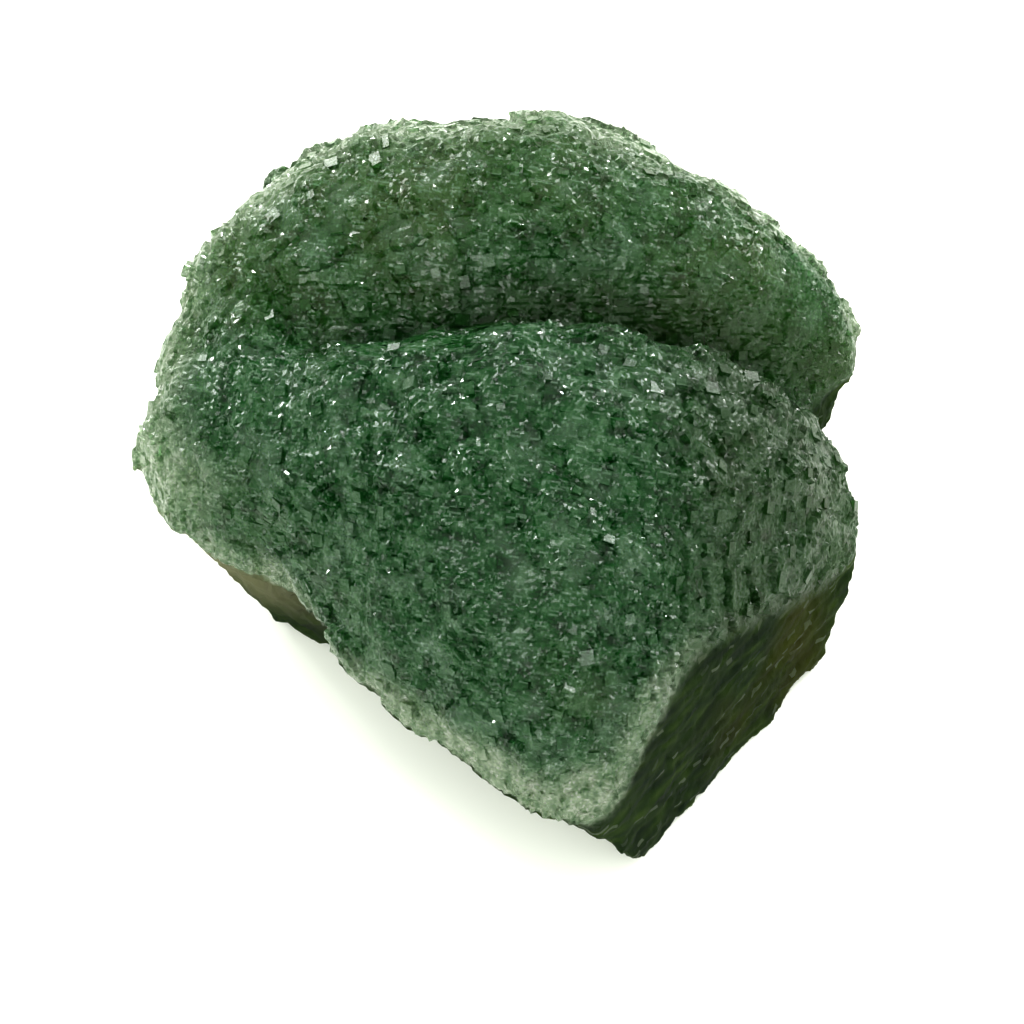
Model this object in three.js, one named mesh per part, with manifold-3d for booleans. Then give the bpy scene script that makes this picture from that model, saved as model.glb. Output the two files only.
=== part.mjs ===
// A hand specimen of green botryoidal fluorite, one natural stone in one solid.
// Two rounded lobes of a sugary crystal crust meet in a deep furrow. The crust overhangs at the front,
// and below it the stone is broken: a steep break on the right front, a recessed one on the left front,
// rough walls at the sides and the back, and a flat break underneath, on which it rests.
// Millimetres, +Z up. The origin is the middle of the stone's outline seen from above, on the flat break.
// X runs to the right and Y to the back of the stone as it lies, with the pointed foot in front.
import * as THREE from "three";
import { mergeVertices } from "three/addons/utils/BufferGeometryUtils.js";
import { SimplexNoise } from "three/addons/math/SimplexNoise.js";
import Module from "manifold-3d";

const wasm = await Module();
wasm.setup();

// Azimuths and radii are measured about the vertical line x = 0, y = AXIS_Y, and azimuth 0 is +X.
const AXIS_Y = -3;

// The rim, the stone's widest line: azimuth in degrees, radius, height above the surface it rests on.
const RIM = [
  [-176, 35.2, 14], [-168, 30.0, 13], [-155, 24.7, 12], [-142, 23.8, 11], [-122, 25.8, 11.5],
  [-102, 29.4, 12.5], [-92, 33.6, 13], [-83, 38.8, 13], [-76, 37.6, 13], [-68, 35.8, 10],
  [-45, 31.4, 9], [-30, 32.2, 10], [-15, 37.4, 11], [-2, 38.9, 13], [7, 38.3, 15],
  [14, 36.8, 18], [23, 41.6, 20], [32, 42.0, 21], [42, 41.2, 22], [60, 38.9, 23],
  [80, 42.2, 23], [97, 40.6, 23], [104, 42.2, 23], [127, 43.4, 23], [136, 41.4, 23],
  [142, 42.4, 23], [154, 40.3, 21], [166, 38.8, 18], [175, 38.7, 16],
];

// The edge of the flat break underneath, before the two front breaks: azimuth in degrees, radius.
const FOOT = [
  [-172, 26.5], [-160, 26], [-148, 24], [-130, 25], [-110, 27], [-92, 31], [-80, 35],
  [-70, 37.5], [-56, 37], [-33, 36], [-15, 33.8], [-5, 30], [20, 29], [45, 32],
  [70, 34], [90, 35], [110, 35], [130, 33], [150, 31], [168, 28],
];
const BELOW_FOOT = 4;

// The crest of each lobe, and how fast it falls away to either side, the front and the back.
const FRONT_LOBE = { height: 35.8, x: 2, y: 0.5, left: 0.01, right: 0.0162, front: 0.0118, back: 0.12 };
const REAR_LOBE = { height: 38, x: 0, y: 21, left: 0.006, right: 0.008, front: 0.052, back: 0.018 };
const SADDLE = { height: 29, x: -25, y: 5, left: 0.008, right: 0.03, front: 0.012, back: 0.006 };
const FURROW_ROUNDING = 2.4;
const SADDLE_ROUNDING = 4;
const SHOULDER_ROUNDING = 13;

// Rounded lumps of the crust: how far apart, how big a ball each is part of, and how far it stands up.
const LUMPS = { spacing: 6.5, radius: [6, 10], rise: [0.7, 1.5], meanRise: 0.45 };

// Single crystals that stand out of the crust: cubes, with how far each stands out and leans.
const CRYSTALS = { count: 125, spacing: 4, size: [1.8, 3.2], standing: [0.2, 0.55], lean: 14 };

// The steep break on the right front: the way it faces, its distance from the origin and its ripples.
const STEEP_BREAK = { azimuth: -40.4, tilt: 9, distance: 33.3, ripple: 0.35 };

// The recessed break on the left front, under the overhanging crust, whose underside is its ceiling.
const RECESS = { azimuth: -128, distance: 20.8, ceiling: 12.5, ripple: 0.5 };
// How far that break stands out: distance along it, at the foot, at the ceiling.
const RECESS_REACH = [[-26, 2.2, 3], [-14, 2, 2.8], [-8, 0, 1.8], [6, 0, 6.2], [40, 0, 6.2]];
const BEYOND_CRUST = 30;

// The shallow hollows of the flat break underneath, and the roughness of the side and back walls.
const HOLLOWS = { depth: 1.3, between: 0.1, width: 14 };
const WALL_ROUGHNESS = { height: 0.5, width: 6, rows: 4 };

// The point inside from which the surface is drawn, and how finely.
const CORE = new THREE.Vector3(0, 6, 11);
const BODY_DETAIL = 15;
const BREAK_CELL = 2.5;
const STONE_COLOUR = 0x3f6b4a;

const radians = THREE.MathUtils.degToRad;
const degrees = THREE.MathUtils.radToDeg;
const { lerp, smoothstep } = THREE.MathUtils;

// A row of repeatable random numbers from 0 to 1.
function randomRow(seed) {
  let state = seed;
  return () => {
    state = (state + 0x6d2b79f5) | 0;
    let mixed = Math.imul(state ^ (state >>> 15), 1 | state);
    mixed = (mixed + Math.imul(mixed ^ (mixed >>> 7), 61 | mixed)) ^ mixed;
    return ((mixed ^ (mixed >>> 14)) >>> 0) / 2 ** 32;
  };
}

const random = randomRow(7);
const between = (low, high) => lerp(low, high, random());
const noise = new SimplexNoise({ random: randomRow(11) });

// A smooth closed curve through rows of [azimuth, value, ...], read at any azimuth.
function aroundAxis(rows, column) {
  const count = rows.length;
  const at = (i) => rows[((i % count) + count) % count][0] + 360 * Math.floor(i / count);
  const value = (i) => rows[((i % count) + count) % count][column];
  const slope = (i) => (value(i + 1) - value(i - 1)) / (at(i + 1) - at(i - 1));
  return (azimuth) => {
    let i = -1;
    const turned = azimuth < at(0) ? azimuth + 360 : azimuth;
    while (i + 1 < count && at(i + 1) <= turned) i++;
    const span = at(i + 1) - at(i);
    const t = (turned - at(i)) / span;
    const u = 1 - t;
    return (
      value(i) * u * u * (1 + 2 * t) +
      value(i + 1) * t * t * (1 + 2 * u) +
      span * t * u * (slope(i) * u - slope(i + 1) * t)
    );
  };
}

const rimRadius = aroundAxis(RIM, 1);
const rimHeight = aroundAxis(RIM, 2);
const footRadius = aroundAxis(FOOT, 1);
const azimuthOf = (x, y) => degrees(Math.atan2(y - AXIS_Y, x));

// A column of rows sorted by their first entry, read with straight lines between the rows.
function alongRows(rows, column, place) {
  const next = rows.findIndex((row) => row[0] > place);
  if (next < 0) return rows[rows.length - 1][column];
  if (next === 0) return rows[0][column];
  const share = (place - rows[next - 1][0]) / (rows[next][0] - rows[next - 1][0]);
  return lerp(rows[next - 1][column], rows[next][column], share);
}

function smoothMax(a, b, rounding) {
  const share = Math.max(rounding - Math.abs(a - b), 0) / rounding;
  return Math.max(a, b) + (share * share * rounding) / 4;
}

function lobe(form, x, y) {
  const across = x - form.x;
  const along = y - form.y;
  const sideways = across < 0 ? form.left : form.right;
  const endways = along < 0 ? form.front : form.back;
  return form.height - sideways * across * across - endways * along * along;
}

function crownHeight(x, y) {
  const lobes = smoothMax(lobe(FRONT_LOBE, x, y), lobe(REAR_LOBE, x, y), FURROW_ROUNDING);
  return smoothMax(lobes, lobe(SADDLE, x, y), SADDLE_ROUNDING);
}

// True inside the stone before its lumps, breaks and crystals.
function inStone(x, y, z) {
  if (z < -BELOW_FOOT) return false;
  const azimuth = azimuthOf(x, y);
  const upTheWall = Math.min(z / rimHeight(azimuth), 1);
  const wall = lerp(footRadius(azimuth), rimRadius(azimuth), upTheWall);
  const out = Math.hypot(x, y - AXIS_Y);
  return smoothMax(z - crownHeight(x, y), out - wall, SHOULDER_ROUNDING) < 0;
}

// How far a ray from the stone's core goes before it leaves the stone.
function reach(direction) {
  let near = 5;
  let far = 70;
  for (let step = 0; step < 26; step++) {
    const middle = (near + far) / 2;
    const point = direction.clone().multiplyScalar(middle).add(CORE);
    if (inStone(point.x, point.y, point.z)) near = middle;
    else far = middle;
  }
  return near;
}

// How much crystal crust there is at a point: 1 above the rim, 0 on the broken wall below it.
function crustShare(point) {
  const aboveRim = point.z - rimHeight(azimuthOf(point.x, point.y));
  return smoothstep(aboveRim, -4, -1);
}

function bareMerged(geometry) {
  return mergeVertices(geometry.deleteAttribute("normal").deleteAttribute("uv"), 1e-4);
}

// Moves every vertex of a geometry to where the function puts it.
function shaped(geometry, move) {
  const position = geometry.getAttribute("position");
  const point = new THREE.Vector3();
  for (let i = 0; i < position.count; i++) {
    point.fromBufferAttribute(position, i);
    move(point, i);
    position.setXYZ(i, point.x, point.y, point.z);
  }
  return geometry;
}

function solid(geometry) {
  return new wasm.Manifold(
    new wasm.Mesh({
      numProp: 3,
      vertProperties: geometry.getAttribute("position").array,
      triVerts: new Uint32Array(geometry.index.array),
    }),
  );
}

// The smooth body.
const body = shaped(bareMerged(new THREE.IcosahedronGeometry(1, BODY_DETAIL)), (point) => {
  point.normalize();
  point.multiplyScalar(reach(point)).add(CORE);
});
body.computeVertexNormals();
const bodyPoints = body.getAttribute("position");
const bodyNormals = body.getAttribute("normal");

// The lumps of the crust, spread over the body at random.
const lumps = [];
for (let tries = 0; tries < 4000; tries++) {
  const spot = Math.floor(random() * bodyPoints.count);
  const centre = new THREE.Vector3().fromBufferAttribute(bodyPoints, spot);
  if (lumps.some((lump) => lump.centre.distanceTo(centre) < LUMPS.spacing)) continue;
  lumps.push({ centre, radius: between(...LUMPS.radius), rise: between(...LUMPS.rise) });
}

function lumpRise(point) {
  let rise = 0;
  for (const lump of lumps) {
    const away = lump.centre.distanceTo(point);
    if (away >= lump.radius) continue;
    const ball = Math.sqrt(lump.radius ** 2 - away ** 2);
    rise = Math.max(rise, ball - lump.radius + lump.rise);
  }
  return rise;
}

shaped(body, (point, i) => {
  const facing = new THREE.Vector3().fromBufferAttribute(bodyNormals, i);
  const { height, width, rows } = WALL_ROUGHNESS;
  const rough = height * noise.noise3d(point.x / width, point.y / width, point.z / rows);
  point.addScaledVector(facing, lerp(rough, lumpRise(point) - LUMPS.meanRise, crustShare(point)));
});
body.deleteAttribute("normal");

// A block that takes away all that lies beyond a break. The break is its underside, near z = 0.
function breakBlock(size, standsOut) {
  const cells = Math.round(size / BREAK_CELL);
  const block = bareMerged(new THREE.BoxGeometry(size, size, size, cells, cells, 1));
  block.translate(0, 0, size / 2);
  return shaped(block, (point) => {
    if (point.z < size / 2) point.z = standsOut(point.x, point.y);
  });
}

// Turns a block to face an azimuth, leaning back by a tilt. Its x then runs down and its y sideways.
function placeBlock(block, { azimuth, tilt = 0, distance }) {
  block.translate(0, 0, distance);
  block.rotateY(Math.PI / 2 - radians(tilt));
  block.rotateZ(radians(azimuth));
  return block;
}

const steepBreak = breakBlock(90, (x, y) => STEEP_BREAK.ripple * noise.noise(x / 4, y / 12));

const recess = breakBlock(110, (x, y) => {
  const height = -x;
  if (height > RECESS.ceiling + BREAK_CELL / 2) return BEYOND_CRUST;
  const atFoot = alongRows(RECESS_REACH, 1, y);
  const atCeiling = alongRows(RECESS_REACH, 2, y);
  const ripple = RECESS.ripple * noise.noise(x / 5, y / 5);
  return lerp(atFoot, atCeiling, height / RECESS.ceiling) + ripple;
});

const flatBreak = breakBlock(100, (x, y) => {
  const swell = noise.noise(x / HOLLOWS.width, y / HOLLOWS.width);
  return -HOLLOWS.depth * Math.max(0, swell - HOLLOWS.between);
});
flatBreak.rotateX(Math.PI);

let stone = solid(body)
  .subtract(solid(placeBlock(steepBreak, STEEP_BREAK)))
  .subtract(solid(placeBlock(recess, RECESS)))
  .subtract(solid(flatBreak));

// The spots for the single crystals: on the crust, clear of the breaks and of one another.
const steepFacing = new THREE.Vector3(1, 0, 0)
  .applyAxisAngle(new THREE.Vector3(0, 1, 0), -radians(STEEP_BREAK.tilt))
  .applyAxisAngle(new THREE.Vector3(0, 0, 1), radians(STEEP_BREAK.azimuth));
const clearOfBreaks = 1.5;
const crystals = [];
for (let tries = 0; tries < 3000 && crystals.length < CRYSTALS.count; tries++) {
  const spot = Math.floor(random() * bodyPoints.count);
  const point = new THREE.Vector3().fromBufferAttribute(bodyPoints, spot);
  if (crustShare(point) < 1 || point.z < RECESS.ceiling + clearOfBreaks) continue;
  if (point.dot(steepFacing) > STEEP_BREAK.distance - clearOfBreaks) continue;
  if (crystals.some((other) => other.point.distanceTo(point) < CRYSTALS.spacing)) continue;
  crystals.push({ point, facing: new THREE.Vector3().fromBufferAttribute(bodyNormals, spot) });
}

// Each crystal is turned at random, leaned a little, and sunk into the crust.
const up = new THREE.Vector3(0, 0, 1);
for (const { point, facing } of crystals) {
  const size = between(...CRYSTALS.size);
  const cube = bareMerged(new THREE.BoxGeometry(size, size, size));
  cube.rotateZ(between(0, Math.PI));
  cube.rotateX(radians(between(-CRYSTALS.lean, CRYSTALS.lean)));
  cube.applyQuaternion(new THREE.Quaternion().setFromUnitVectors(up, facing));
  point.addScaledVector(facing, between(...CRYSTALS.standing) - size / 2);
  cube.translate(point.x, point.y, point.z);
  stone = stone.add(solid(cube));
}

const finished = stone.getMesh();
const geometry = new THREE.BufferGeometry();
geometry.setAttribute("position", new THREE.BufferAttribute(finished.vertProperties, 3));
geometry.setIndex(new THREE.BufferAttribute(finished.triVerts, 1));
geometry.computeBoundingBox();
const middle = geometry.boundingBox.getCenter(new THREE.Vector3());
geometry.translate(-middle.x, -middle.y, 0);
geometry.computeVertexNormals();

const fluorite = new THREE.Mesh(
  geometry,
  new THREE.MeshStandardMaterial({ color: STONE_COLOUR, roughness: 0.35, metalness: 0 }),
);
fluorite.name = "fluorite";

const specimen = new THREE.Group();
specimen.add(fluorite);
export default specimen;
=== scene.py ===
"""A hand specimen of green botryoidal fluorite, lying on a pale floor in soft studio light."""

import itertools
import math

import bpy
import numpy as np
from mathutils import Matrix, Vector, noise
from mathutils.kdtree import KDTree


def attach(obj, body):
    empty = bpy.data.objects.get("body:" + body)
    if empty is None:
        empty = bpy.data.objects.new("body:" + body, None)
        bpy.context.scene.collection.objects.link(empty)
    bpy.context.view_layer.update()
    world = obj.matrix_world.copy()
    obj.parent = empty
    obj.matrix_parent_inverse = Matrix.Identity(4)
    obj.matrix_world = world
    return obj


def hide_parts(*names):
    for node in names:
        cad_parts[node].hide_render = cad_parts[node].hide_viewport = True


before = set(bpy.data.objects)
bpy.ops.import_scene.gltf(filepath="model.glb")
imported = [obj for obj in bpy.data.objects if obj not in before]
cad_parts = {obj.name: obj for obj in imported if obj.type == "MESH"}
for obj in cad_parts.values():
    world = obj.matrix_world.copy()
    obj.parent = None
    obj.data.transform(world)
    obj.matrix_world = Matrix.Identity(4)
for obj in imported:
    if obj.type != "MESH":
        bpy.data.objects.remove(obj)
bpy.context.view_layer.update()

MM = 0.001
STONE = "fluorite"
SEED = 11

# Where the crust and the breaks lie, in millimetres.
AXIS = (1.144, -3.165)
RIM = [  # direction in degrees, distance from the axis, height
    (-176, 35.2, 14), (-168, 30.0, 13), (-155, 24.7, 12), (-142, 23.8, 11), (-122, 25.8, 11.5),
    (-102, 29.4, 12.5), (-92, 33.6, 13), (-83, 38.8, 13), (-76, 37.6, 13), (-68, 35.8, 10),
    (-45, 31.4, 9), (-30, 32.2, 10), (-15, 37.4, 11), (-2, 38.9, 13), (7, 38.3, 15),
    (14, 36.8, 18), (23, 41.6, 20), (32, 42.0, 21), (42, 41.2, 22), (60, 38.9, 23),
    (80, 42.2, 23), (97, 40.6, 23), (104, 42.2, 23), (127, 43.4, 23), (136, 41.4, 23),
    (142, 42.4, 23), (154, 40.3, 21), (166, 38.8, 18), (175, 38.7, 16),
]
BACKLIT_EDGE = [  # direction in degrees, distances inside the rim where the painted backlight of the thin edge starts and is full
    (-178, 7.0, 0.0), (-66, 1.5, 0.5), (0, 1.5, 0.5), (30, 4.0, 0.8), (60, 9, 3.5),
    (75, 12, 5.5), (100, 14, 7.0), (127, 12, 4.5), (150, 8, 0.5),
]
BACKLIT_EDGE_FADE = (0.5, 4.0)  # how far out from where it's full the painted backlight of the edge fades, from and to
FURROW_Y = 9.0
FURROW_REACH = 3.2
STEEP_NORMAL = np.array([0.7522, -0.6402, 0.1564])
STEEP_PLACE = 34.27
STEEP_ALONG = np.array([0.648, 0.7615, 0.0])
RIDGE = [  # place along the steep break, height
    (-23, 12), (-17, 17), (-12, 20.4), (-7.3, 22.3), (-2, 20.1), (3.4, 17.3), (10.8, 13.4), (18.1, 9.7),
]
RIDGE_REACH = 5.0
RIDGE_ROUNDING = 0.022
RIDGE_MOST = 2.2
UNDERSIDE_TOP = 0.7

# The skin of the stone, its small steps and its broken relief: sizes in millimetres.
SKIN_CELL = 0.41
SKIN_ROUNDS = 4
GUIDE_CELL = 0.8
GUIDE_ROUNDS = 12
SMOOTHING = 0.5
STEP_SIZE = (0.65, 1.15)
STEP_RISE = 0.5
GRAIN_RISE = 0.13
SUGAR_RISE = 0.03
STREAK_LENGTH = 4
PIT_LEVEL = 0.25
PIT_DEPTH = 0.5
TERRACE_STEPS = 4
TERRACE_RISE = 0.6
WALL_KEPT = 0.22
WALL_CRUST_MOST = 0.02
WALL_STEEP_MOST = 0.5
HIDDEN_WEIGHT = 1000
HASH_PRIMES = (73856093, 19349663, 83492791, 2654435761)
HASH_FACTOR = 1274126177

# The patches in which the crystals lie alike, and the single crystals: sizes in millimetres.
CRUST_LEAST = 0.9
NEARLY_ALONG_X = 0.9
PATCH_TRIES = 3000
PATCH_SPACING = 6.0
PATCH_LEAN = 0.2
PATCH_TWIST = math.radians(12)
CRYSTAL_TRIES = 20000
CRYSTAL_SPACING = 2.8
CRYSTAL_SIZE = (0.8, 1.45)
CRYSTAL_SIDES = (0.85, 1.2)
CRYSTAL_STANDS_OUT = (0.0, 0.3)
CRYSTAL_UPRIGHT = 0.7
CRYSTAL_LEAN = 0.12
ODD_CRYSTALS = 0.12
ODD_LEAN = 0.5

PATTERNS = {  # the layers of each noise: size in millimetres, which part of the noise, height
    "streaks": [(1.2, 0, 0.22)],
    "grit": [(0.8, 9, 0.14)],
    "pits": [(1.3, 4, 1.0)],
    "terraces": [(6.0, 2, 1.0)],
    "rough": [(1.6, 7, 0.3), (0.7, 3, 0.14)],
    "warmth": [(13.0, 31, 1.0), (5.0, 33, 0.5)],
    "veil": [(3.6, 50, 1.0), (1.5, 55, 0.4)],
    "fibres": [(0.67, 60, 0.5)],
    "stains": [(1.1, 65, 0.35), (0.55, 70, 0.2)],
}
MIDDLE_TONE = 0.5
FIBRE_STRETCH = (1, 1, 0.1)
STAIN_STRETCH = (0.35, 0.35, 1.0)
PATCH_BEND = (1.4, 0, 20, 1.6)  # size, first part of the noise, gap to the next part, height
GRAIN_BEND = (2.2, 40, 5, 0.8)

RANGES = {  # where each share is 0 and where it is 1: millimetres, degrees about the axis, or a plain value
    "inside_steep": (0.2, 0.9),
    "over_ridge": (-2.4, 0.6),
    "over_rim": (-1.6, 0.4),
    "faces_out": (-0.45, -0.15),
    "on_steep": (0.8, 0.3),
    "front_from_left": (-178, -166),
    "front_from_right": (-50, -66),
    "lip_from_above": (6.5, 2.2),
    "lip_from_below": (-2.0, -0.6),
    "ridge_near": (2.3, 0.6),
    "ridge_left": (-4, -8),
    "furrow_right": (-22, 8),
    "right_side": (12, 24),
    "front_lobe": (9, 3),
    "ridge_end_low": (6, 0),
    "ridge_end_near": (4, 1),
    "ridge_end_right": (-7, -2),
    "rear": (-4, 20),
    "warm": (0.0, 1.4),
    "glow": (-0.2, 0.9),
    "glow_left": (17, 7),
    "veil": (0.0, 0.6),
    "thin_wall_front": (170, 183),
    "thin_wall_rear": (212, 190),
    "thin_wall_high": (2, 9),
}
# How strongly light is painted shining through the front lip and the ridge's left end, and how much the
# painted backlight fades outside the thin edge.
LIP_BACKLIGHT = 0.95
RIDGE_BACKLIGHT = 0.6
EDGE_FADE = 0.75
# How strongly shade is painted in the furrow and on the right of the front lobe.
FURROW_SHADE = 0.75
RIGHT_SHADE = 0.7
WARM_NOISE = 0.6
GLOW_ALONG = 0.04
MARKS = {  # the three marks that each point carries under a name, with the weight of each
    # cover holds the crust, the painted backlight at the thin edges and the painted shade.
    "cover": {"crust": 1.0, "pale": 0.9, "deep": 0.7},
    "tint": {"warm": 0.5, "veil": 0.4, "thin_wall": 1.0},
    "grain": {"fibres": 0.7, "stains": 1.0, "glow": 0.6},
}

# The material: sizes in millimetres, colours in linear red, green and blue.
LATTICE_TURN = (math.radians(-32), math.radians(4), math.radians(9))
COARSE_BLOCK = (0.85, 0.85, 0.85)
FINE_BLOCK = (0.37, 0.37, 0.37)
LENGTHWISE_DASH = (0.9, 0.2, 0.3)
UPRIGHT_DASH = (0.2, 0.3, 0.7)
DASH_LEAST = 0.86
DASH_WEIGHT = 0.6
CHIP = (1.2, 0.4, 10.0)
CHIP_LEAST = 0.92
CHIP_WEIGHT = 0.5
MOTTLE_BASE = 0.28
MOTTLE_COARSE = 0.2
MOTTLE_FINE = 0.24
MOTTLE_CLOUD = 0.375
THREAD_FINE = 0.3
THREAD_DASHES = 0.25
GREENS = [(0.2, (0.002, 0.04, 0.005)), (0.5, (0.015, 0.13, 0.024)), (0.8, (0.13, 0.28, 0.135))]
WARM_GREEN = (0.15, 0.2, 0.07)
VEIL_GREEN = (0.2, 0.32, 0.21)
DASH_GREEN = (0.3, 0.46, 0.32)
# Painted shade: the dark green laid in the furrow, on the right of the front lobe and at the ridge's right
# end.
PAINTED_SHADE_GREEN = (0.03, 0.06, 0.006)
# Painted backlight: the paler greens laid where light is painted shining through the thin edges.
BACKLIT_GREENS = [(0.25, (0.17, 0.3, 0.15)), (0.6, (0.5, 0.62, 0.43)), (0.85, (0.8, 0.86, 0.72))]
OLIVES = [(0.3, (0.006, 0.028, 0.001)), (0.55, (0.02, 0.058, 0.001)), (0.8, (0.055, 0.11, 0.006))]
GLOW_OLIVE = (0.09, 0.085, 0.001)
CHIP_GREY = (0.28, 0.34, 0.22)
THIN_WALL_GREY = (0.3, 0.3, 0.17)
BUMP_STRENGTH = 0.8
BUMP_HEIGHT = 0.045
CRUST_ROUGHNESS = 0.14
BREAK_ROUGHNESS = 0.75
# Extra roughness where shade is painted.
SHADE_ROUGHNESS = 0.22
TRANSMISSION = 0.7
FLUORITE_IOR = 1.434
SPECULAR_LEVEL = 0.12
ABSORPTION_COLOUR = (0.14, 0.57, 0.18)
ABSORPTION_DENSITY = 125.0

# The floor, the camera and the light: places and sizes in metres, power in watts.
FLOOR_HALF = 1.5
FLOOR_DROP = 0.0001
FLOOR_COLOUR = (0.85, 0.87, 0.81)
FLOOR_ROUGHNESS = 0.6
TARGET = Vector((1.144, -8.165, 20)) * MM
VIEW_ELEVATION = math.radians(55)
VIEW_DISTANCE = 0.24
VIEW_CLIP = (0.01, 10)
LENS = 84.375  # in millimetres, as is the sensor's width
SENSOR_WIDTH = 36
LIT_PLACE = Vector((0, 0, 0.01))
LIGHTS = [  # name, place, width, power
    ("soft_left", (-0.45, 0.55, 0.45), 0.34, 2.6),
    ("soft_right", (0.5, 0.5, 0.5), 0.34, 2.3),
    ("soft_front", (-0.1, -0.6, 0.4), 0.4, 1.7),
    ("small_back", (0.12, 0.72, 0.5), 0.06, 1.4),
    ("small_left", (-0.6, 0.5, 0.35), 0.06, 0.9),
    ("small_right", (0.66, 0.4, 0.42), 0.06, 0.7),
]
SKY = [(0.0, (1.6, 1.6, 1.55)), (0.75, (0.98, 1.0, 0.96))]
EXPOSURE = 0.1

# The cells around a cell of a grid, and the corners and the sides of a cube.
AROUND = list(itertools.product((-1, 0, 1), repeat=3))
CORNERS = np.array(list(itertools.product((-1, 1), repeat=3)))
SIDES = np.array([[0, 1, 3, 2], [4, 6, 7, 5], [0, 4, 5, 1], [2, 3, 7, 6], [0, 2, 6, 4], [1, 5, 7, 3]])


def smooth_share(low, high, value):
    """How far value has come from low to high, from 0 to 1, with soft ends."""
    share = np.clip((value - low) / (high - low), 0, 1)
    return share * share * (3 - 2 * share)


def in_range(name, value):
    """The share that the named range gives for each value."""
    return smooth_share(*RANGES[name], value)


def noise_row(places, size, part):
    """Smooth noise from about -1 to 1 at each place, with features of that size."""
    offset = Vector((part, 0, 0))
    return np.array([noise.noise(Vector(place) / size + offset) for place in places])


def pattern(name, places):
    """The sum of the named pattern's layers at each place."""
    return sum(noise_row(places, size, part) * height for size, part, height in PATTERNS[name])


def bend(places, size, first, gap, height):
    """A noise of its own for each of the three directions, at each place."""
    rows = [noise_row(places, size, first + gap * axis) for axis in range(3)]
    return np.stack(rows, axis=1) * height


def new_object(name, data):
    """A new object in the scene."""
    obj = bpy.data.objects.new(name, data)
    bpy.context.scene.collection.objects.link(obj)
    return obj


def evaluated(obj):
    """The object's mesh with its modifiers applied."""
    graph = bpy.context.evaluated_depsgraph_get()
    return bpy.data.meshes.new_from_object(obj.evaluated_get(graph))


def vertex_rows(mesh):
    """The places and the normals of the mesh's points, one row for each point."""
    places = np.zeros(len(mesh.vertices) * 3)
    mesh.vertices.foreach_get("co", places)
    normals = np.zeros(len(mesh.vertices) * 3)
    mesh.vertex_normals.foreach_get("vector", normals)
    return places.reshape(-1, 3), normals.reshape(-1, 3)


def triangle_rows(mesh):
    """The numbers of the three points of each triangle."""
    mesh.calc_loop_triangles()
    rows = np.zeros(len(mesh.loop_triangles) * 3, dtype=np.int32)
    mesh.loop_triangles.foreach_get("vertices", rows)
    return rows.reshape(-1, 3)


def place_points(mesh, places):
    """Moves the mesh's points to these places."""
    mesh.vertices.foreach_set("co", places.ravel())
    mesh.update()


def tree_of(places):
    """A tree that finds the nearest of these places."""
    tree = KDTree(len(places))
    for number, place in enumerate(places):
        tree.insert(place, number)
    tree.balance()
    return tree


def remeshed(source, cell, rounds):
    """The source's shape in even cells, with its edges softened."""
    obj = new_object("even", source.copy())
    remesh = obj.modifiers.new("even", "REMESH")
    remesh.mode = "VOXEL"
    remesh.voxel_size = cell
    soften = obj.modifiers.new("soften", "SMOOTH")
    soften.factor = SMOOTHING
    soften.iterations = rounds
    mesh = evaluated(obj)
    bpy.data.objects.remove(obj)
    return mesh


def thinned(mesh, hidden):
    """The mesh with fewer triangles where its points are hidden from the photo's side."""
    obj = new_object("thinned", mesh)
    group = obj.vertex_groups.new(name="hidden")
    group.add(np.flatnonzero(hidden).tolist(), 1.0, "REPLACE")
    fewer = obj.modifiers.new("fewer", "DECIMATE")
    fewer.ratio = 1 - hidden.mean() * (1 - WALL_KEPT)
    fewer.vertex_group = "hidden"
    fewer.vertex_group_factor = HIDDEN_WEIGHT
    fewer.use_collapse_triangulate = True
    result = evaluated(obj)
    bpy.data.objects.remove(obj)
    return result


def about_rim(places):
    """Each place's direction from the axis, and how far it is outside and above the rim there."""
    across = places[:, :2] - AXIS
    angle = np.degrees(np.arctan2(across[:, 1], across[:, 0]))
    directions, distances, heights = zip(*RIM)
    rim_distance = np.interp(angle, directions, distances, period=360)
    rim_height = np.interp(angle, directions, heights, period=360)
    return angle, np.hypot(across[:, 0], across[:, 1]) - rim_distance, places[:, 2] - rim_height


def about_ridge(places):
    """How far each place is inside the steep break's plane, and above the ridge over the break."""
    along, heights = zip(*RIDGE)
    ridge_height = np.interp(places @ STEEP_ALONG, along, heights)
    return STEEP_PLACE - places @ STEEP_NORMAL, places[:, 2] - ridge_height


def crust_share(places, normals):
    """1 where the crystal crust covers the stone, 0 on its breaks, walls and underside."""
    inside, above = about_ridge(places)
    off_steep = np.maximum(in_range("inside_steep", inside), in_range("over_ridge", above))
    over_rim = in_range("over_rim", about_rim(places)[2])
    return over_rim * off_steep * in_range("faces_out", normals[:, 2])


def round_ridge(mesh):
    """Rounds the crust over the ridge, back from the plane of the steep break."""
    places, _ = vertex_rows(mesh)
    inside, above = about_ridge(places)
    depth = np.minimum(RIDGE_ROUNDING * np.maximum(above, 0) ** 2, RIDGE_MOST)
    depth = depth * smooth_share(RIDGE_REACH, 0, inside)
    place_points(mesh, places - depth[:, None] * STEEP_NORMAL)


def grid_cell(place, size):
    """The cell of a grid that the place is in."""
    return tuple((place // size).astype(int))


def in_and_around(cells, cell):
    """All that a grid holds in that cell and in the cells around it."""
    near = [(cell[0] + x, cell[1] + y, cell[2] + z) for x, y, z in AROUND]
    return [item for other in near for item in cells.get(other, ())]


def spread(places, spacing):
    """The numbers of places that keep the spacing to each other, taken in order."""
    cells = {}
    kept = []
    for number, place in enumerate(places):
        cell = grid_cell(place, spacing)
        others = in_and_around(cells, cell)
        if others and ((places[others] - place) ** 2).sum(axis=1).min() < spacing**2:
            continue
        cells.setdefault(cell, []).append(number)
        kept.append(number)
    return kept


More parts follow.
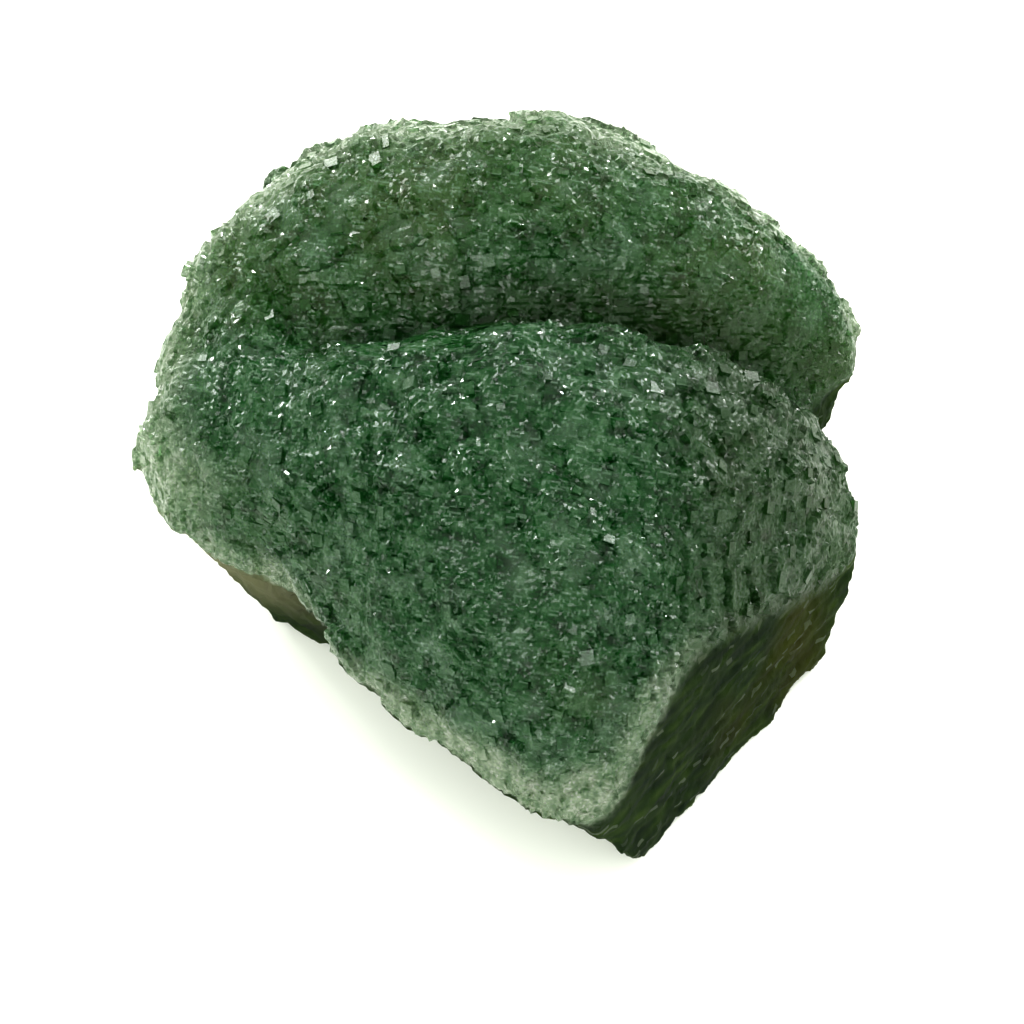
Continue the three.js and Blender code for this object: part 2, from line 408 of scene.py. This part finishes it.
def crust_places(guide, rng, count):
    """Random places on the guide's crust, with their normals."""
    places, normals = vertex_rows(guide)
    rows = triangle_rows(guide)
    crust = crust_share(places, normals)[rows].mean(axis=1)
    corners = places[rows]
    across = np.cross(corners[:, 1] - corners[:, 0], corners[:, 2] - corners[:, 0])
    weight = np.where(crust > CRUST_LEAST, np.linalg.norm(across, axis=1), 0)
    picked = rng.choice(len(rows), count, p=weight / weight.sum())
    first = np.sqrt(rng.random(count))
    second = rng.random(count)
    mix = np.stack([1 - first, first * (1 - second), first * second], axis=1)[:, :, None]
    found = (corners[picked] * mix).sum(axis=1)
    facing = (normals[rows[picked]] * mix).sum(axis=1)
    return found, facing / np.linalg.norm(facing, axis=1, keepdims=True)


def squared(side, out):
    """The direction nearest to side that is square to out."""
    return (side - out * side.dot(out)).normalized()


def turn_of(side, out):
    """The turn whose first and third directions these are, as columns."""
    return np.array([side, out.cross(side), out]).T


class Patches:
    """Patches of crust in which the crystals lie alike, each with its own turn and size of step."""

    def __init__(self, guide, rng):
        places, normals = crust_places(guide, rng, PATCH_TRIES)
        kept = spread(places, PATCH_SPACING)
        self.tree = tree_of(places[kept])
        self.turns = np.array([self.random_turn(normal, rng) for normal in normals[kept]])
        self.sizes = rng.uniform(*STEP_SIZE, len(kept))

    def random_turn(self, normal, rng):
        """A turn with its third direction about along the normal."""
        out = Vector(normal + rng.normal(0, PATCH_LEAN, 3)).normalized()
        side = Vector((1, 0, 0)) if abs(out.x) < NEARLY_ALONG_X else Vector((0, 1, 0))
        side = Matrix.Rotation(rng.normal(0, PATCH_TWIST), 3, out) @ squared(side, out)
        return turn_of(side, out)

    def nearest(self, place):
        """The number of the patch that the place is in."""
        return self.tree.find(place)[1]


def cell_shares(cells):
    """A random share from 0 to 1 for each row of whole numbers, the same for equal rows."""
    mixed = np.zeros(len(cells), dtype=np.uint64)
    for column, prime in zip(cells.T.astype(np.int64), HASH_PRIMES):
        mixed ^= (column * prime).astype(np.uint64)
    mixed ^= mixed >> np.uint64(13)
    mixed = (mixed * np.uint64(HASH_FACTOR)) & np.uint64(0xFFFFFFFF)
    mixed ^= mixed >> np.uint64(16)
    return (mixed & np.uint64(0xFFFFF)).astype(float) / 0xFFFFF


def crust_steps(places, normals, patches, rng):
    """How far the crust's small cubic steps move each place along its normal."""
    ragged = places + bend(places, *PATCH_BEND)
    patch = np.array([patches.nearest(place) for place in ragged])
    turns = patches.turns[patch]
    sizes = patches.sizes[patch][:, None]
    local = np.einsum("nji,nj->ni", turns, places)
    cells = np.round(local / sizes)
    facing = np.einsum("nji,nj->ni", turns, normals)
    terraces = ((cells * sizes - local) * facing).sum(axis=1) * STEP_RISE
    grains = cell_shares(np.column_stack([cells, patch])) - 0.5
    sugar = rng.normal(0, 1, len(places))
    return terraces + grains * 2 * GRAIN_RISE + sugar * SUGAR_RISE


def break_steps(places, steep):
    """How far streaks and pits move the steep break, and terraces and roughness the other walls."""
    stretched = places @ STEEP_ALONG / STREAK_LENGTH
    stretched = np.stack([stretched, places[:, 2], np.zeros(len(places))], axis=1)
    streaks = pattern("streaks", stretched) + pattern("grit", places)
    pits = np.minimum(0, pattern("pits", places) + PIT_LEVEL) * PIT_DEPTH
    terraces = np.round(pattern("terraces", places) * TERRACE_STEPS) / TERRACE_STEPS * TERRACE_RISE
    wall = terraces + pattern("rough", places)
    return steep * (streaks + pits) + (1 - steep) * wall


def base_mesh(source, patches, rng):
    """The whole stone: fine cubic steps on its crust, and broken relief everywhere else."""
    mesh = remeshed(source, SKIN_CELL, SKIN_ROUNDS)
    round_ridge(mesh)
    places, normals = vertex_rows(mesh)
    crust = crust_share(places, normals)
    steep = in_range("on_steep", about_ridge(places)[0])
    relief = crust * crust_steps(places, normals, patches, rng)
    relief += (1 - crust) * break_steps(places, steep)
    moved = places + normals * relief[:, None]
    lowest = np.where(places[:, 2] < UNDERSIDE_TOP, np.maximum(places[:, 2], 0), 0)
    moved[:, 2] = np.maximum(moved[:, 2], lowest)
    place_points(mesh, moved)
    return thinned(mesh, (crust < WALL_CRUST_MOST) & (steep < WALL_STEEP_MOST))


def crystal_boxes(guide, patches, rng):
    """The single crystals of the crust: centre, half axes as columns, and reach."""
    found, facing = crust_places(guide, rng, CRYSTAL_TRIES)
    kept = spread(found, CRYSTAL_SPACING)
    boxes = []
    for place, normal in zip(found[kept], facing[kept]):
        turn = patches.turns[patches.nearest(place)]
        lean = rng.normal(0, CRYSTAL_LEAN, 3)
        out = Vector(turn[:, 2] + normal * CRYSTAL_UPRIGHT + lean).normalized()
        if rng.random() < ODD_CRYSTALS:
            out = (out + Vector(rng.normal(0, ODD_LEAN, 3))).normalized()
        side = squared(Vector(turn[:, 0]), out)
        size = rng.uniform(*CRYSTAL_SIZE)
        half = 0.5 * size * rng.uniform(*CRYSTAL_SIDES, 3)
        top = rng.uniform(*CRYSTAL_STANDS_OUT)
        centre = place + np.array(out) * (top - half[2])
        boxes.append((centre, turn_of(side, out) * half, float(np.linalg.norm(half))))
    return boxes


def apart_groups(boxes):
    """Groups of crystals in which no two touch, so that each group is one plain cutter."""
    cell_size = 2 * max(reach for _, _, reach in boxes)
    groups = []
    for box in boxes:
        cell = grid_cell(box[0], cell_size)
        for cells, members in groups:
            others = in_and_around(cells, cell)
            if all(((o[0] - box[0]) ** 2).sum() > (o[2] + box[2]) ** 2 for o in others):
                break
        else:
            cells = {}
            members = []
            groups.append((cells, members))
        cells.setdefault(cell, []).append(box)
        members.append(box)
    return [members for _, members in groups]


def boxes_mesh(boxes):
    """One mesh of all the boxes."""
    places = [CORNERS @ axes.T + centre for centre, axes, _ in boxes]
    faces = [SIDES + len(CORNERS) * number for number in range(len(boxes))]
    mesh = bpy.data.meshes.new("crystals")
    mesh.from_pydata(np.concatenate(places).tolist(), [], np.concatenate(faces).tolist())
    mesh.update()
    return mesh


def united(base, boxes):
    """The base with all the crystals grown onto it, as one closed skin."""
    stone = new_object(STONE + "_stone", base)
    cutters = []
    for members in apart_groups(boxes):
        cutter = new_object("crystals", boxes_mesh(members))
        join = stone.modifiers.new("join", "BOOLEAN")
        join.object = cutter
        join.operation = "UNION"
        join.solver = "MANIFOLD"
        cutters.append(cutter)
    mesh = evaluated(stone)
    stone.modifiers.clear()
    for cutter in cutters:
        bpy.data.objects.remove(cutter)
    stone.data = mesh
    return stone


def backlit_edge_share(places, front):
    """1 at the thin edge of the crust, where backlight is painted, except at the front, where the edge gets
    none.
    """
    angle, outside, _ = about_rim(places)
    directions, starts, ends = zip(*BACKLIT_EDGE)
    start = np.interp(angle, directions, starts, period=360)
    end = np.interp(angle, directions, ends, period=360)
    fade_from, fade_to = BACKLIT_EDGE_FADE
    fade = smooth_share(fade_from - end, fade_to - end, outside)
    return (1 - front) * smooth_share(-start, -end, outside) * (1 - EDGE_FADE * fade)


def backlight_share(places, front, edge):
    """How much painted backlight each place has: light painted shining through the lip at the front, the
    left end of the ridge and the thin edge.
    """
    above_rim = about_rim(places)[2]
    lip = front * in_range("lip_from_above", above_rim) * in_range("lip_from_below", above_rim)
    ridge = in_range("ridge_near", about_ridge(places)[0])
    ridge = ridge * in_range("ridge_left", places @ STEEP_ALONG)
    return np.maximum(np.maximum(lip * LIP_BACKLIGHT, ridge * RIDGE_BACKLIGHT), edge)


def shade_share(places, edge):
    """How much painted shade each place has: in the furrow, on the right of the front lobe, and darker at
    the ridge's right end.
    """
    furrow = np.exp(-(((places[:, 1] - FURROW_Y) / FURROW_REACH) ** 2))
    furrow = furrow * in_range("furrow_right", places[:, 0])
    right = in_range("right_side", places[:, 0]) * in_range("front_lobe", places[:, 1])
    inside, above = about_ridge(places)
    ridge_end = in_range("ridge_end_low", above) * in_range("ridge_end_near", inside)
    ridge_end = ridge_end * in_range("ridge_end_right", places @ STEEP_ALONG)
    return np.maximum(np.maximum(furrow * FURROW_SHADE, right * RIGHT_SHADE) * (1 - edge), ridge_end)


def point_marks(places, normals):
    """All the marks of the stone's points, by name."""
    angle = about_rim(places)[0]
    along = places @ STEEP_ALONG
    front = in_range("front_from_left", angle) * in_range("front_from_right", angle)
    edge = backlit_edge_share(places, front)
    warmth = pattern("warmth", places)
    around = angle % 360
    thin_wall = in_range("thin_wall_front", around) * in_range("thin_wall_rear", around)
    return {
        "crust": crust_share(places, normals),
        # Painted backlight: light painted shining through the lip, the ridge's left end and the thin edge.
        "pale": backlight_share(places, front, edge),
        # Painted shade in the furrow, on the right of the front lobe and at the ridge's right end.
        "deep": shade_share(places, edge),
        "warm": in_range("warm", warmth * WARM_NOISE + in_range("rear", places[:, 1])),
        "veil": in_range("veil", pattern("veil", places)),
        "thin_wall": thin_wall * in_range("thin_wall_high", places[:, 2]),
        "fibres": MIDDLE_TONE + pattern("fibres", places * FIBRE_STRETCH),
        "stains": MIDDLE_TONE + pattern("stains", places * STAIN_STRETCH),
        "glow": in_range("glow", warmth + along * GLOW_ALONG) * in_range("glow_left", along),
    }


def set_vectors(mesh, name, rows):
    """Gives each point of the mesh the three values of its row, under that name."""
    attribute = mesh.attributes.new(name, "FLOAT_VECTOR", "POINT")
    attribute.data.foreach_set("vector", rows.ravel().astype(np.float32))


def set_marks(stone, guide):
    """Gives each point the marks and the soft bend that the material reads."""
    places, _ = vertex_rows(stone.data)
    guide_places, guide_normals = vertex_rows(guide)
    guide_tree = tree_of(guide_places)
    normals = guide_normals[[guide_tree.find(place)[1] for place in places]]
    values = point_marks(places, normals)
    for name, weights in MARKS.items():
        rows = [values[mark] * weight for mark, weight in weights.items()]
        set_vectors(stone.data, name, np.stack(rows, axis=1))
    set_vectors(stone.data, "bend", bend(places, *GRAIN_BEND))


def set_stops(ramp, stops):
    """Gives a colour ramp its positions and colours."""
    while len(ramp.elements) < len(stops):
        ramp.elements.new(0.5)
    for element, (position, colour) in zip(ramp.elements, stops):
        element.position = position
        element.color = (*colour, 1)


class Tree:
    """Short calls for a material's nodes."""

    def __init__(self, name):
        self.material = bpy.data.materials.new(name)
        self.material.use_nodes = True
        self.nodes = self.material.node_tree.nodes
        self.nodes.clear()

    def add(self, kind, inputs=(), **settings):
        """A node with its settings, and its inputs given as values or as the sockets to link."""
        node = self.nodes.new(kind)
        for key, value in settings.items():
            setattr(node, key, value)
        for key, value in dict(inputs).items():
            if isinstance(value, bpy.types.NodeSocket):
                self.material.node_tree.links.new(value, node.inputs[key])
            else:
                node.inputs[key].default_value = value
        return node

    def math(self, operation, first, second):
        """A sum, product or the like of two values."""
        return self.add("ShaderNodeMath", {0: first, 1: second}, operation=operation).outputs[0]

    def vector(self, operation, first, second):
        """The outputs of a sum, snap or the like of two vectors."""
        inputs = {0: first, 1: second}
        return self.add("ShaderNodeVectorMath", inputs, operation=operation).outputs

    def split(self, vector):
        """The three values of a vector."""
        return self.add("ShaderNodeSeparateXYZ", {0: vector}).outputs

    def turned(self, place):
        """The place as the crystals lie."""
        return self.add("ShaderNodeMapping", {"Vector": place, "Rotation": LATTICE_TURN}).outputs[0]

    def attribute(self, name):
        """The three values that each point has under that name, as one vector."""
        return self.add("ShaderNodeAttribute", attribute_name=name).outputs["Vector"]

    def marks(self):
        """All the marks of the points, by name."""
        found = {}
        for name, weights in MARKS.items():
            found.update(zip(weights, self.split(self.attribute(name))))
        return found

    def blocks(self, place, size):
        """A random share for each block of that size."""
        snapped = self.vector("SNAP", place, size)[0]
        noises = self.add("ShaderNodeTexWhiteNoise", {"Vector": snapped}, noise_dimensions="3D")
        return noises.outputs["Value"]

    def above(self, value, least):
        """How far value has come from least to 1, from 0 to 1."""
        inputs = {"Value": value, "From Min": least, "From Max": 1.0}
        return self.add("ShaderNodeMapRange", inputs, interpolation_type="SMOOTHSTEP").outputs[0]

    def ramp(self, value, stops):
        """The colour that the stops give for the value."""
        node = self.add("ShaderNodeValToRGB", {"Fac": value})
        set_stops(node.color_ramp, stops)
        return node.outputs["Color"]

    def mix(self, share, first, second):
        """The first colour turned into the second by the share."""
        if not isinstance(second, bpy.types.NodeSocket):
            second = (*second, 1)
        return self.add("ShaderNodeMix", {0: share, 6: first, 7: second}, data_type="RGBA").outputs[2]


def crust_colour(tree, marks, cloud, grains, dashes):
    """The crust's green, mottled and veiled, with pale dashes, painted shade in the furrows and painted
    backlight at the thin edges.
    """
    coarse, fine = grains
    spots = tree.math("MULTIPLY", coarse, MOTTLE_COARSE)
    spots = tree.math("ADD", spots, tree.math("MULTIPLY", fine, MOTTLE_FINE))
    spots = tree.math("ADD", spots, MOTTLE_BASE)
    mottle = tree.math("ADD", tree.math("MULTIPLY", cloud, MOTTLE_CLOUD), spots)
    skin = tree.mix(marks["warm"], tree.ramp(mottle, GREENS), WARM_GREEN)
    skin = tree.mix(marks["veil"], skin, VEIL_GREEN)
    skin = tree.mix(tree.math("MULTIPLY", dashes, DASH_WEIGHT), skin, DASH_GREEN)
    # Painted shade in the furrow, on the right of the front lobe and at the ridge's right end.
    skin = tree.mix(marks["deep"], skin, PAINTED_SHADE_GREEN)
    # Painted backlight: paler greens where light is painted shining through the thin edges, streaked by
    # fibres and dashes.
    threads = tree.math("ADD", marks["fibres"], tree.math("MULTIPLY", fine, THREAD_FINE))
    threads = tree.math("ADD", threads, tree.math("MULTIPLY", dashes, THREAD_DASHES))
    return tree.mix(marks["pale"], skin, tree.ramp(threads, BACKLIT_GREENS))


def break_colour(tree, marks, place):
    """The breaks' dull olive, with pale chips, and grey at the thin wall on the left."""
    along = tree.vector("DOT_PRODUCT", place, tuple(STEEP_ALONG))["Value"]
    height = tree.split(place)[2]
    flat_place = tree.add("ShaderNodeCombineXYZ", {0: along, 1: height}).outputs[0]
    chips = tree.above(tree.blocks(flat_place, CHIP), CHIP_LEAST)
    dull = tree.mix(marks["glow"], tree.ramp(marks["stains"], OLIVES), GLOW_OLIVE)
    dull = tree.mix(tree.math("MULTIPLY", chips, CHIP_WEIGHT), dull, CHIP_GREY)
    return tree.mix(marks["thin_wall"], dull, THIN_WALL_GREY)


def stone_roughness(tree, marks):
    """Glossy crust, somewhat rougher where shade is painted, and dull breaks."""
    broken = tree.math("SUBTRACT", 1.0, marks["crust"])
    roughness = tree.math("ADD", CRUST_ROUGHNESS, tree.math("MULTIPLY", broken, BREAK_ROUGHNESS))
    return tree.math("ADD", roughness, tree.math("MULTIPLY", marks["deep"], SHADE_ROUGHNESS))


def stone_material():
    """See-through green fluorite, with small grains in its crust and a dull skin on its breaks."""
    tree = Tree(STONE)
    marks = tree.marks()
    bent = tree.attribute("bend")
    place = tree.add("ShaderNodeTexCoord").outputs["Object"]
    scaled = {0: place, "Scale": 1 / MM}
    mm = tree.add("ShaderNodeVectorMath", scaled, operation="SCALE").outputs[0]
    shifted = tree.vector("ADD", mm, bent)[0]
    lying = tree.turned(shifted)
    straight = tree.turned(mm)
    coarse = tree.blocks(lying, COARSE_BLOCK)
    fine = tree.blocks(lying, FINE_BLOCK)
    lengthwise = tree.blocks(straight, LENGTHWISE_DASH)
    upright = tree.blocks(straight, UPRIGHT_DASH)
    dashes = tree.above(tree.math("MAXIMUM", lengthwise, upright), DASH_LEAST)

    skin = crust_colour(tree, marks, tree.split(bent)[0], (coarse, fine), dashes)
    colour = tree.mix(marks["crust"], break_colour(tree, marks, shifted), skin)
    small = tree.math("MULTIPLY", marks["crust"], tree.math("ADD", coarse, fine))
    relief = {"Height": small, "Strength": BUMP_STRENGTH, "Distance": BUMP_HEIGHT * MM}
    surface = {
        "Base Color": colour,
        "Roughness": stone_roughness(tree, marks),
        "Normal": tree.add("ShaderNodeBump", relief).outputs["Normal"],
        "Transmission Weight": TRANSMISSION,
        "IOR": FLUORITE_IOR,
        "Specular IOR Level": SPECULAR_LEVEL,
    }
    shader = tree.add("ShaderNodeBsdfPrincipled", surface, distribution="GGX")
    inside = {"Color": (*ABSORPTION_COLOUR, 1), "Density": ABSORPTION_DENSITY}
    absorb = tree.add("ShaderNodeVolumeAbsorption", inside)
    ends = {"Surface": shader.outputs[0], "Volume": absorb.outputs[0]}
    tree.add("ShaderNodeOutputMaterial", ends)
    return tree.material


def floor_material():
    """A plain pale floor."""
    material = bpy.data.materials.new("floor")
    material.use_nodes = True
    shader = material.node_tree.nodes["Principled BSDF"]
    shader.inputs["Base Color"].default_value = (*FLOOR_COLOUR, 1)
    shader.inputs["Roughness"].default_value = FLOOR_ROUGHNESS
    return material


def new_floor():
    """A flat square just under the stone."""
    corners = [(-1, -1, 0), (1, -1, 0), (1, 1, 0), (-1, 1, 0)]
    mesh = bpy.data.meshes.new("floor")
    mesh.from_pydata([Vector(corner) * FLOOR_HALF for corner in corners], [], [(0, 1, 2, 3)])
    mesh.materials.append(floor_material())
    obj = new_object("floor", mesh)
    obj.location.z = -FLOOR_DROP
    return obj


def add_camera():
    """The camera, in front of the stone and well above it."""
    camera = bpy.data.cameras.new("camera")
    camera.lens = LENS
    camera.sensor_width = SENSOR_WIDTH
    camera.clip_start, camera.clip_end = VIEW_CLIP
    obj = new_object("camera", camera)
    back = Vector((0, -math.cos(VIEW_ELEVATION), math.sin(VIEW_ELEVATION)))
    obj.location = TARGET + back * VIEW_DISTANCE
    obj.rotation_euler = back.to_track_quat("Z", "Y").to_euler()
    bpy.context.scene.camera = obj


def add_lights():
    """Round lamps that face the stone: large ones for soft light, small ones for glints."""
    for name, place, width, power in LIGHTS:
        lamp = bpy.data.lights.new(name, "AREA")
        lamp.shape = "DISK"
        lamp.size = width
        lamp.energy = power
        obj = new_object(name, lamp)
        obj.location = place
        obj.rotation_euler = (LIT_PLACE - Vector(place)).to_track_quat("-Z", "Y").to_euler()


def add_sky():
    """A plain studio sky, brighter low down than overhead."""
    world = bpy.data.worlds.new("studio")
    world.use_nodes = True
    nodes = world.node_tree.nodes
    links = world.node_tree.links
    ways = nodes.new("ShaderNodeTexCoord")
    split = nodes.new("ShaderNodeSeparateXYZ")
    rise = nodes.new("ShaderNodeValToRGB")
    set_stops(rise.color_ramp, SKY)
    links.new(ways.outputs["Generated"], split.inputs[0])
    links.new(split.outputs["Z"], rise.inputs[0])
    links.new(rise.outputs[0], nodes["Background"].inputs["Color"])
    bpy.context.scene.world = world


rng = np.random.default_rng(SEED)
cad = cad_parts[STONE].data.copy()
cad.transform(Matrix.Scale(1 / MM, 4))
guide = remeshed(cad, GUIDE_CELL, GUIDE_ROUNDS)
round_ridge(guide)
patches = Patches(guide, rng)
base = base_mesh(cad, patches, rng)
stone = united(base, crystal_boxes(guide, patches, rng))
set_marks(stone, guide)
stone.data.transform(Matrix.Scale(MM, 4))
stone.data.materials.clear()
stone.data.materials.append(stone_material())
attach(stone, "root")
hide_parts(STONE)

floor = new_floor()
add_camera()
add_lights()
add_sky()
view = bpy.context.scene.view_settings
view.view_transform = "Standard"
view.look = "High Contrast"
view.exposure = EXPOSURE
